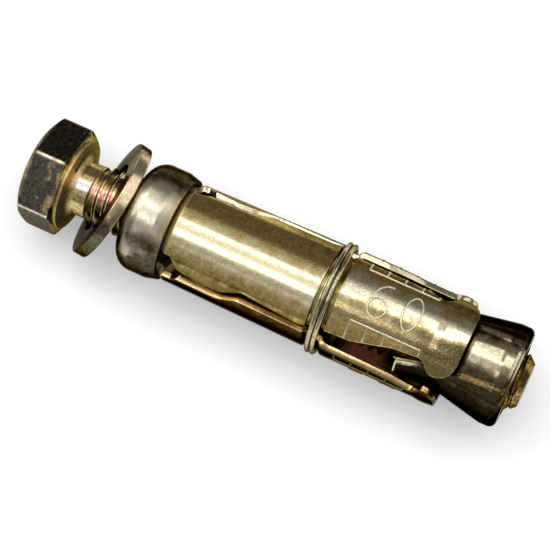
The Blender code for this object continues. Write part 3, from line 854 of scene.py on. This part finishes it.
# Zones of painted light: a highlight on the skirt's crown, and shade on the skirt's middle, the sides, the
# low margin and the lobes
# Each zone: its form and its turns, the stations where it comes in, its share and its tones
SKIN_LIGHT_AND_SHADE = {
    "skirt_highlight": (turn_band, (-14, 10, 8), BEYOND_RING, 0.9, ("#D8CEB0", "#F8F2DE")),
    "skirt_shade": (turn_band, (14, 36, 6), BEYOND_RING, 0.7, ("#6A6148", "#A89E7C")),
    "low_side": (turn_spread, (40, 66), None, 0.6, ("#7A6638", "#A08A54")),
    "low_margin": (turn_spread, (52, 60), None, 0.8, ("#5A4A26", "#806C3E")),
    "upper_side": (turn_spread, (-24, -36), (26 * MM, 30 * MM), 0.75, ("#4E4024", "#70603A")),
    "low_lobe": (turn_spread, (8, 17), ON_LOBE, 0.8, ("#5E5234", "#8A7C56")),
    "upper_lobe": (turn_spread, (-20, -30), ON_LOBE, 0.8, ("#564A2C", "#7C6E48")),
}
SPECK_SIZE = 0.17 * MM
SPECK_NOISE = (4, 0.7)
DARK_SPECKS = (0.54, 0.66, 0, 0.45)
DARK_SPECK_TINT = "#5E4C26"
PALE_SPECKS = (0.46, 0.34, 0, 0.4)
PALE_SPECK_TINT = "#FBF2CE"
SPECKED_TURNS = (62, 40)
# Painted shade on the underside
UNDERSIDE = (60, 76)
UNDERSIDE_TONES = ("#2E2614", "#4A3E22")
EDGE_BORDER = (0.3, 0.8)
# The sheared edges are painted as highlights, pale above and coppery below, with painted shade on the low
# edges off their crest and near the ring
LOW_EDGE = (20, 50)
LOW_EDGE_TONES = ("#DCB47C", "#F4D8A4")
HIGH_EDGE_TONES = ("#E4D8B4", "#F4ECD2")
SKIRT_EDGE_TONES = ("#C2B488", "#E2D8B4")
EDGE_CREST = (BODY_END_RADIUS - 0.6 * MM, BODY_END_RADIUS - 0.25 * MM, 0.1 * MM)
DIM_EDGE = (28 * MM, 33.5 * MM, 1.5 * MM)
DIM_EDGE_SHARE = 0.75
DIM_EDGE_TONES = ("#6E5830", "#8C7444")
# Painted light: the joggle is coloured a lighter tan where it lies in shade at the ferrule's mouth, and made
# rougher
JOGGLE_PLACE = (BODY_START + 0.2 * MM, BODY_START - 0.1 * MM)
JOGGLE_TONES = ("#C8AE78", "#E8D4A0")
# Painted shade on the inner skin beyond the ring
INSIDE_SKIN = (SKIRT_RADIUS - PLATE + 0.15 * MM, SKIRT_RADIUS - PLATE + 0.05 * MM)
INSIDE_TONES = ("#3A3020", "#5A4C34")
# A painted reflection of the thread on the inner skin behind the lower slot, coppery and not metallic
SLOT_REFLECTION_PLACE = (38.2 * MM, 43.5 * MM, 1.2 * MM)
SLOT_REFLECTION_TURNS = (80, 95)
SLOT_REFLECTION_TONES = ("#D8704A", "#FFA880")
LINE_PLATING = ("#FBF3D4", "#E4D8AC", "#CCBE90", 0.2, 0.3, 0.001 * MM)
# Outside these turns the raised lines are painted dark as shade
LINES_IN_LIGHT = (-40, 60, 12)
LINE_SHADE_TINT = "#8A7850"


def plate_profile(end):
    """The segment's outer skin from its hooked tongue to the tip of its lobe."""
    hook_end = TONGUE_START + HOOK_LENGTH
    return (
        (TONGUE_START, HOOK_RADIUS),
        (hook_end, HOOK_RADIUS),
        (hook_end + HOOK_RADIUS - TONGUE_RADIUS, TONGUE_RADIUS),
        (BODY_START - JOGGLE_LENGTH, TONGUE_RADIUS),
        (BODY_START, BODY_START_RADIUS),
        (GROOVE_START, BODY_END_RADIUS),
        (GROOVE_START + GROOVE_SLOPE, GROOVE_RADIUS),
        (GROOVE_END - GROOVE_SLOPE, GROOVE_RADIUS),
        (GROOVE_END + SKIRT_RADIUS - BODY_END_RADIUS, SKIRT_RADIUS),
        (LOBE_START, SKIRT_RADIUS),
        (LOBE_START + LOBE_RISE, LOBE_RADIUS),
        (end - LOBE_TIP_LENGTH, LOBE_RADIUS),
        (end, LOBE_RADIUS - LOBE_TIP_DROP),
    )


def inset(profile, depth):
    """The same profile moved inwards by an even depth, with mitred corners."""
    points = [Vector(point) for point in profile]
    inner = []
    for index, point in enumerate(points):
        before = (point - points[index - 1]) if index else (points[1] - point)
        after = (points[index + 1] - point) if index + 1 < len(points) else before
        normals = [Vector((way.y, -way.x)).normalized() for way in (before, after)]
        mitre = (normals[0] + normals[1]).normalized()
        inner.append(point + mitre * depth / mitre.dot(normals[0]))
    inner[0].x = points[0].x
    inner[-1].x = points[-1].x
    return inner


def plate_rows(end):
    """Pairs of points on the outer and inner skin, close together along the segment."""
    outer = rounded([(*point, BEND_ROUNDING / 2) for point in plate_profile(end)])
    inner = rounded([(*point, BEND_ROUNDING / 2) for point in inset(plate_profile(end), PLATE)])
    pairs = [(outer[0], inner[0])]
    for index in range(1, len(outer)):
        steps = max(1, ceil((outer[index] - outer[index - 1]).length / SEGMENT_STEP))
        for k in range(1, steps + 1):
            share = k / steps
            pairs.append(tuple(skin[index - 1].lerp(skin[index], share) for skin in (outer, inner)))
    return pairs


def edge_angle(edge, station):
    """The blank's edge at a station, with every corner of its outline eased."""
    total = 0
    for k in range(EDGE_SAMPLES):
        place = station + EDGE_ROUNDING * (k / (EDGE_SAMPLES - 1) - 0.5)
        share = (place - BODY_START) / (FRONT_SEGMENT_END - BODY_START)
        low = max([point for point in edge if point[0] <= share], default=edge[0])
        high = min([point for point in edge if point[0] > share], default=edge[-1])
        span = high[0] - low[0]
        part = min(max((share - low[0]) / span, 0), 1) if span > 0 else 0
        total += low[1] + (high[1] - low[1]) * part
    return radians(total / EDGE_SAMPLES)


def corner_inset(station, end, radius):
    """How far the round corner of the lobe takes an edge back, as an angle."""
    reach = station - (end - LOBE_CORNER)
    if reach <= 0:
        return 0
    return (LOBE_CORNER - sqrt(max(LOBE_CORNER ** 2 - reach ** 2, 0))) / radius


def loop_path(start, stop, eased):
    """The way round a section: pairs of a turn and a depth, from the skin at 0 to the back at 1."""
    arcs = [pi / 2 * k / ARC_STEPS for k in range(ARC_STEPS + 1)]
    path = []
    for side, other, inwards, columns, depth in (
        (stop, start, -1, SKIN_COLUMNS, 0),
        (start, stop, 1, BACK_COLUMNS, 1),
    ):
        first = other - inwards * eased
        last = side + inwards * eased
        path += [(first + (last - first) * k / columns, depth) for k in range(columns)]
        bends = [(1 - sin(arc), 1 - cos(arc)) for arc in arcs]
        for back, down in bends:
            path.append((side + inwards * eased * back, abs(depth - EDGE_SOFTNESS * down / PLATE)))
        for back, down in reversed(bends):
            path.append((side + inwards * eased * back, abs(1 - depth - EDGE_SOFTNESS * down / PLATE)))
    return path


def sheared_columns():
    """How far each column of a section lies on the sheared edge: 0 on the skins, 1 on the edge."""
    depths = [point[1] for point in loop_path(0, 1, 0)]
    marks = [min(min(depth, 1 - depth) * PLATE / EDGE_SOFTNESS, 1) for depth in depths]
    return marks + marks[:1]


def plate_loop(outer, inner, start, stop):
    """One closed section of the plate, wider at its back, where the shear broke it away."""
    path = loop_path(start, stop, EDGE_SOFTNESS / outer.y)
    points = []
    middle = (start + stop) / 2
    widening = PLATE * tan(EDGE_SLANT) / inner.y / (stop - middle)
    for turn, depth in path:
        skin = outer.lerp(inner, depth)
        points.append(on_axis(skin.x, skin.y, middle + (turn - middle) * (1 + widening * depth)))
    return points + points[:1]


def segment_part(index, end):
    datum = SHIELD_TURN + THIRD * index
    loops = []
    for outer, inner in plate_rows(end):
        station = (outer.x + inner.x) / 2
        back = corner_inset(station, end, outer.y)
        start = datum + edge_angle(UPPER_EDGE, station) + back
        stop = datum + edge_angle(LOWER_EDGE, station) - back
        loops.append(plate_loop(outer, inner, start, stop))
    sheet = wrapped(
        len(loops) - 1, len(loops[0]) - 1, lambda row, column: loops[row][column], sheared_columns()
    )
    bmesh.ops.remove_doubles(sheet, verts=sheet.verts, dist=WELD_DISTANCE)
    rims = [edge for edge in sheet.edges if edge.is_boundary]
    bmesh.ops.holes_fill(sheet, edges=rims)
    return sheet


def oval(centre, size, first, sweep, count):
    """Points round an oval, from its first swing over a sweep, both in degrees."""
    swings = [radians(first + sweep * k / count) for k in range(count + 1)]
    return [(centre[0] + size[0] * sin(swing), centre[1] - size[1] * cos(swing)) for swing in swings]


def number_strokes():
    """The plain number, as lines of (station, angle from the middle line) on the skin."""
    return [[*SIX_STEM, *oval(*SIX_BOWL)], oval(*NOUGHT)]


def ladder_strokes():
    """Two rows of raised lines, with uprights that run out to the segment's edges."""
    strokes = []
    for edge, line, first in LADDERS:
        stations = [(first + LADDER_PITCH * k) / MM for k in range(LADDER_STEPS + 1)]
        strokes.append([(stations[0], line), (stations[-1], line)])
        for station in stations:
            rim = degrees(edge_angle(edge, station * MM))
            strokes.append([(station, line), (station, rim - copysign(LINE_MARGIN, rim))])
    return strokes


def round_wire(name, radius, bevel, material):
    """A curve that shows as a round wire with closed ends."""
    curve = bpy.data.curves.new(name, "CURVE")
    curve.dimensions = "3D"
    curve.bevel_depth = radius
    curve.bevel_resolution = bevel
    curve.use_fill_caps = True
    curve.materials.append(material)
    return curve


def strand(curve, points):
    """One run of a wire from point to point."""
    spline = curve.splines.new("POLY")
    spline.points.add(len(points) - 1)
    for item, point in zip(spline.points, points):
        item.co = (*point, 1)


def relief(name, index, strokes, material, body):
    """Raised lines pressed up out of one segment's skin."""
    curve = round_wire(name, LINE_RADIUS, LINE_BEVEL, material)
    datum = SHIELD_TURN + THIRD * index
    for stroke in strokes:
        points = []
        for (station, angle), (next_station, next_angle) in zip(stroke, stroke[1:]):
            further = next_station - station
            round_by = next_angle - angle
            reach = Vector((further * MM, radians(round_by) * SKIRT_RADIUS))
            steps = max(1, ceil(reach.length / LINE_STEP))
            points += [(station + further * k / steps, angle + round_by * k / steps) for k in range(steps)]
        points.append(stroke[-1])
        turned_points = [(station * MM, datum + radians(angle)) for station, angle in points]
        strand(curve, [on_axis(station, SKIRT_RADIUS - LINE_SINK, turn) for station, turn in turned_points])
    lines = placed(name, curve)
    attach(lines, body)


def axis_radius(place):
    """How far each point of a surface lies from the bolt's axis."""
    parts = add(place.id_data, "SeparateXYZ", {"Vector": place}).outputs
    above = moved(parts["Z"], -AXIS_HEIGHT)
    section = add(place.id_data, "CombineXYZ", {"X": parts["Y"], "Y": above}).outputs["Vector"]
    return add(place.id_data, "VectorMath", {0: section}, operation="LENGTH").outputs["Value"]


def zone(station, turn, form, turns, stations, share):
    """How far a zone covers each point: by its turns, its stations and its share."""
    cover = form(turn, *turns)
    if stations:
        cover = times(cover, spread(station, *stations))
    return times(cover, share)


def skin_colour(place, station, turn, fine, colour):
    """The outer skin: a pale painted highlight on the crown, zones of painted highlight and shade, specks
    and painted shade on the underside.
    """
    beyond = spread(station, *BEYOND_RING)
    before = spread(beyond, 0, 1, BODY_CROWN_SHARE, 0)
    crown = times(turn_band(turn, *BODY_CROWN), before)
    colour = laid(colour, crown, fine, BODY_CROWN_TONES)
    # Zones of painted highlight and shade
    for form, turns, stations, share, pair in SKIN_LIGHT_AND_SHADE.values():
        colour = laid(colour, zone(station, turn, form, turns, stations, share), fine, pair)
    speck = noise(place, SPECK_SIZE, *SPECK_NOISE)
    colour = mixed(spread(speck, *DARK_SPECKS), colour, tint(DARK_SPECK_TINT))
    pale = times(spread(speck, *PALE_SPECKS), turn_spread(turn, *SPECKED_TURNS))
    colour = mixed(pale, colour, tint(PALE_SPECK_TINT))
    return laid(colour, turn_spread(turn, *UNDERSIDE), fine, UNDERSIDE_TONES)


def edge_colour(station, turn, radius, fine):
    """The sheared edges as painted highlights: pale above and coppery below, with painted shade on the low
    edges away from the skin and near the ring.
    """
    low_edge = turn_spread(turn, *LOW_EDGE)
    bright = laid(tones(fine, *HIGH_EDGE_TONES), low_edge, fine, LOW_EDGE_TONES)
    on_skirt = times(spread(station, *BEYOND_RING), spread(low_edge, 1, 0))
    bright = laid(bright, on_skirt, fine, SKIRT_EDGE_TONES)
    off_crest = spread(band(radius, *EDGE_CREST), 1, 0)
    dim = either(band(station, *DIM_EDGE), off_crest)
    dim = times(times(dim, low_edge), DIM_EDGE_SHARE)
    return laid(bright, dim, fine, DIM_EDGE_TONES)


def shield_plating():
    """Yellow plating with painted light: a pale highlight on the crown, highlights on the edges, shade on
    the sides and inside, and a coppery reflection of the thread behind the slot.
    """
    material, shader, place, colour = plated(
        "yellow_zinc_on_plate", *SHIELD_PLATING, drawn=SHIELD_DRAWN
    )
    station, turn = round_axis(place)
    turn = wandering(place, turn, BLOT_SIZE, SHIELD_WANDER)
    radius = axis_radius(place)
    fine = spread(noise(place, FINE_MOTTLE, *GRIT_NOISE), *GRIT)
    colour = skin_colour(place, station, turn, fine, colour)
    on_edge = spread(add(shader.id_data, "Attribute", attribute_name="sheared").outputs["Fac"], *EDGE_BORDER)
    colour = mixed(on_edge, colour, edge_colour(station, turn, radius, fine))
    # Painted light on the joggle
    joggle = spread(station, *JOGGLE_PLACE)
    colour = laid(colour, joggle, fine, JOGGLE_TONES)
    duller(shader, joggle, DULL_ROUGHNESS)
    # Painted shade inside the skirt
    inside = times(spread(radius, *INSIDE_SKIN), spread(station, *BEYOND_RING))
    colour = laid(colour, inside, fine, INSIDE_TONES)
    # Painted reflection of the thread behind the slot
    behind_slot = times(band(station, *SLOT_REFLECTION_PLACE), turn_spread(turn, *SLOT_REFLECTION_TURNS))
    slot_reflection = times(inside, behind_slot)
    colour = laid(colour, slot_reflection, fine, SLOT_REFLECTION_TONES)
    feed(shader, "Metallic", spread(slot_reflection, 0, 1, 1, 0))
    feed(shader, "Base Color", colour)
    return material


def line_plating():
    """The raised lines' crests in pale plating, painted dark as shade where they run round to the sides."""
    material, shader, place, colour = plated("pale_zinc_on_lines", *LINE_PLATING)
    seen = turn_band(round_axis(place)[1], *LINES_IN_LIGHT)
    feed(shader, "Base Color", mixed(seen, tint(LINE_SHADE_TINT), colour))
    return material


def segments():
    material = shield_plating()
    crest = line_plating()
    strokes = ladder_strokes() + number_strokes()
    ends = {"front": FRONT_SEGMENT_END, "lower": OTHER_SEGMENT_END, "rear": OTHER_SEGMENT_END}
    for index, (side, end) in enumerate(ends.items()):
        show(
            f"{side}_plate", [segment_part(index, end)], material,
            f"{side}_segment", [f"shield_segment_{side}"],
        )
        relief(f"{side}_raised_lines", index, strokes, crest, f"{side}_segment")


segments()

# The retaining ring: nearly two turns of dark, drawn spring wire with free ends. It lies in
# the segments' grooves and holds the three together.
WIRE_RADIUS = 0.32 * MM
RING_CLEARANCE = 0.2 * MM
RING_TURNS = 1.9
RING_PITCH = 0.66 * MM
RING_TILT = radians(2.2)
RING_LIFT = 0.12 * MM
RING_SLIDE = -0.08 * MM
RING_END_TURN = radians(250)
RING_POINTS_PER_TURN = 120
WIRE_BEVEL = 5
# Drawn wire is smooth, so each turn shows a thin bright line along its dark sides
WIRE_PLATING = ("#CCC3A4", "#9A9070", "#7C7254", 0.08, 0.16, 0.001 * MM)
RING_RADIUS = GROOVE_RADIUS + RING_CLEARANCE + RING_LIFT + WIRE_RADIUS
RING_STATION = (GROOVE_START + GROOVE_END) / 2 + RING_SLIDE


def ring():
    material = plated("dark_spring_wire", *WIRE_PLATING)[0]
    curve = round_wire("spring_ring", WIRE_RADIUS, WIRE_BEVEL, material)
    points = []
    for k in range(round(RING_TURNS * RING_POINTS_PER_TURN) + 1):
        turns = k / RING_POINTS_PER_TURN
        turn = RING_END_TURN + 2 * pi * turns
        slide = RING_PITCH * (turns - RING_TURNS / 2)
        lean = RING_RADIUS * tan(RING_TILT) * cos(turn - SHIELD_TURN)
        point = on_axis(RING_STATION + slide + lean, RING_RADIUS, turn)
        points.append((point.x, point.y, point.z + RING_LIFT))
    strand(curve, points)
    wire = placed("spring_ring", curve)
    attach(wire, "shield_base")
    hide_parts("retaining_ring")


ring()

# The cone nut: a forged cone, threaded for the bolt, with three ridges that run in the slots
# between the segments and keep it from turning. Its plating is pale, with nearly black painted
# shade over its sides.
NUT_START = 45.6 * MM
NUT_LENGTH = 13.8 * MM
NUT_LAND_LENGTH = 2.0 * MM
NUT_NOSE_RADIUS = 4.4 * MM
CONE_CLEARANCE = 0.25 * MM
CONE_HALF_ANGLE = radians(10.2)
NUT_END_ROUNDING = 0.9 * MM
NUT_START_ROUNDING = 0.12 * MM
NUT_BORE_CLEARANCE = 0.2 * MM
NUT_BORE_CHAMFER = 0.5 * MM
RIDGE_TURN = radians(47)
RIDGE_HEIGHT = 0.42 * MM
RIDGE_START_HALF_ANGLE = radians(11)
RIDGE_END_HALF_ANGLE = radians(25)
RIDGE_FLANK = radians(10)
KEY_RADIUS = 6.0 * MM
KEY_LENGTH = 3.3 * MM
NUT_COLUMNS = 270
NUT_STEP = 0.25 * MM
NUT_END = NUT_START + NUT_LENGTH
NUT_LAND_START = NUT_END - NUT_LAND_LENGTH
NUT_LAND_RADIUS = (
    LOBE_RADIUS - LOBE_TIP_DROP - PLATE - CONE_CLEARANCE - RIDGE_HEIGHT
    + (NUT_LAND_START - FRONT_SEGMENT_END) * tan(CONE_HALF_ANGLE)
)
NUT_BORE_RADIUS = SHANK_RADIUS + NUT_BORE_CLEARANCE
NUT_PLATING = ("#D8CEB0", "#B0A68A", "#A0967A", 0.09, 0.16, 0.003 * MM)
NUT_DRAWN = 3
NUT_WANDER = 0.06
# The crown, the key and the small end's face keep the pale plating as painted highlights; the rest is
# painted nearly black as shade, darkest below
NUT_CROWN_START = (-21, -11)
NUT_CROWN_END = (36, 2)
KEY_PLACE = (NUT_START + KEY_LENGTH, NUT_START + KEY_LENGTH / 2)
KEY_TURNS = (62, 56)
NUT_FACE = (NUT_START + 0.3 * MM, NUT_START + 0.15 * MM)
NUT_HIGH_TONES = ("#231E15", "#352E21")
NUT_MIDDLE = (5, 20)
NUT_MIDDLE_TONES = ("#40371F", "#625538")
NUT_LOW = (45, 62)
NUT_LOW_TONES = ("#15110A", "#221D13")
# A painted highlight: a thin coppery line running along the nut
NUT_FLANK_GLINT = (39, 40, 2)
NUT_FLANK_GLINT_SHARE = 0.5
NUT_FLANK_GLINT_TINT = "#A07848"


def nut_radius(station, turn):
    """The cone and its land, with the ridge that is nearest and the key at its small end."""
    share = min(max((station - NUT_START) / (NUT_LAND_START - NUT_START), 0), 1)
    cone = NUT_LAND_RADIUS - max(NUT_LAND_START - station, 0) * tan(CONE_HALF_ANGLE)
    cone = max(cone, NUT_NOSE_RADIUS)
    key_share = max(1 - (station - NUT_START) / KEY_LENGTH, 0)
    height = RIDGE_HEIGHT + (KEY_RADIUS - cone - RIDGE_HEIGHT) * key_share
    aside = (turn - SHIELD_TURN - RIDGE_TURN + THIRD / 2) % THIRD - THIRD / 2
    half = RIDGE_START_HALF_ANGLE + (RIDGE_END_HALF_ANGLE - RIDGE_START_HALF_ANGLE) * share
    rise = min(max((half + RIDGE_FLANK - abs(aside)) / RIDGE_FLANK, 0), 1)
    return cone + height * rise * rise * (3 - 2 * rise)


def nut_plating():
    """Pale glossy plating on the crown, the key and the small end as painted highlights, and nearly black
    painted shade at the sides, darkest below.
    """
    material, shader, place, colour = plated("zinc_on_nut_with_painted_shade", *NUT_PLATING, drawn=NUT_DRAWN)
    station, turn = round_axis(place)
    turn = wandering(place, turn, BLOT_SIZE, NUT_WANDER)
    fine = spread(noise(place, MOTTLE_SIZE, *FINE_NOISE), *MOTTLING)
    crown = times(turn_spread(turn, *NUT_CROWN_START), turn_spread(turn, *NUT_CROWN_END))
    key = times(spread(station, *KEY_PLACE), turn_spread(turn, *KEY_TURNS))
    light = either(either(crown, key), spread(station, *NUT_FACE))
    dark = tones(fine, *NUT_HIGH_TONES)
    dark = laid(dark, turn_spread(turn, *NUT_MIDDLE), fine, NUT_MIDDLE_TONES)
    dark = laid(dark, turn_spread(turn, *NUT_LOW), fine, NUT_LOW_TONES)
    colour = mixed(light, dark, colour)
    # Painted highlight along the nut
    line = times(times(turn_band(turn, *NUT_FLANK_GLINT), fine), NUT_FLANK_GLINT_SHARE)
    feed(shader, "Base Color", mixed(line, colour, tint(NUT_FLANK_GLINT_TINT)))
    return material


def nut():
    """Rows are a station, and how far below the cone or at what radius they lie."""
    arcs = [pi / 2 * k / ARC_STEPS for k in range(ARC_STEPS + 1)]
    rows = [(NUT_START, 0, NUT_BORE_RADIUS)]
    for arc in arcs:
        station = NUT_START + NUT_START_ROUNDING * (1 - cos(arc))
        rows.append((station, NUT_START_ROUNDING * (1 - sin(arc)), None))
    along = NUT_LENGTH - NUT_START_ROUNDING - NUT_END_ROUNDING
    steps = ceil(along / NUT_STEP)
    rows += [(NUT_START + NUT_START_ROUNDING + along * k / steps, 0, None) for k in range(1, steps)]
    for arc in arcs:
        station = NUT_END - NUT_END_ROUNDING * (1 - sin(arc))
        rows.append((station, NUT_END_ROUNDING * (1 - cos(arc)), None))
    rows.append((NUT_END, 0, NUT_BORE_RADIUS + NUT_BORE_CHAMFER))
    rows.append((NUT_END - NUT_BORE_CHAMFER, 0, NUT_BORE_RADIUS))
    rows.append((NUT_START, 0, NUT_BORE_RADIUS))

    def place(row, column):
        station, drop, radius = rows[row]
        turn = 2 * pi * column / NUT_COLUMNS
        return on_axis(station, radius or nut_radius(station, turn) - drop, turn)

    material = nut_plating()
    body = wrapped(len(rows) - 1, NUT_COLUMNS, place)
    show("threaded_cone", [body], material, "nut", ["cone_nut"])


nut()
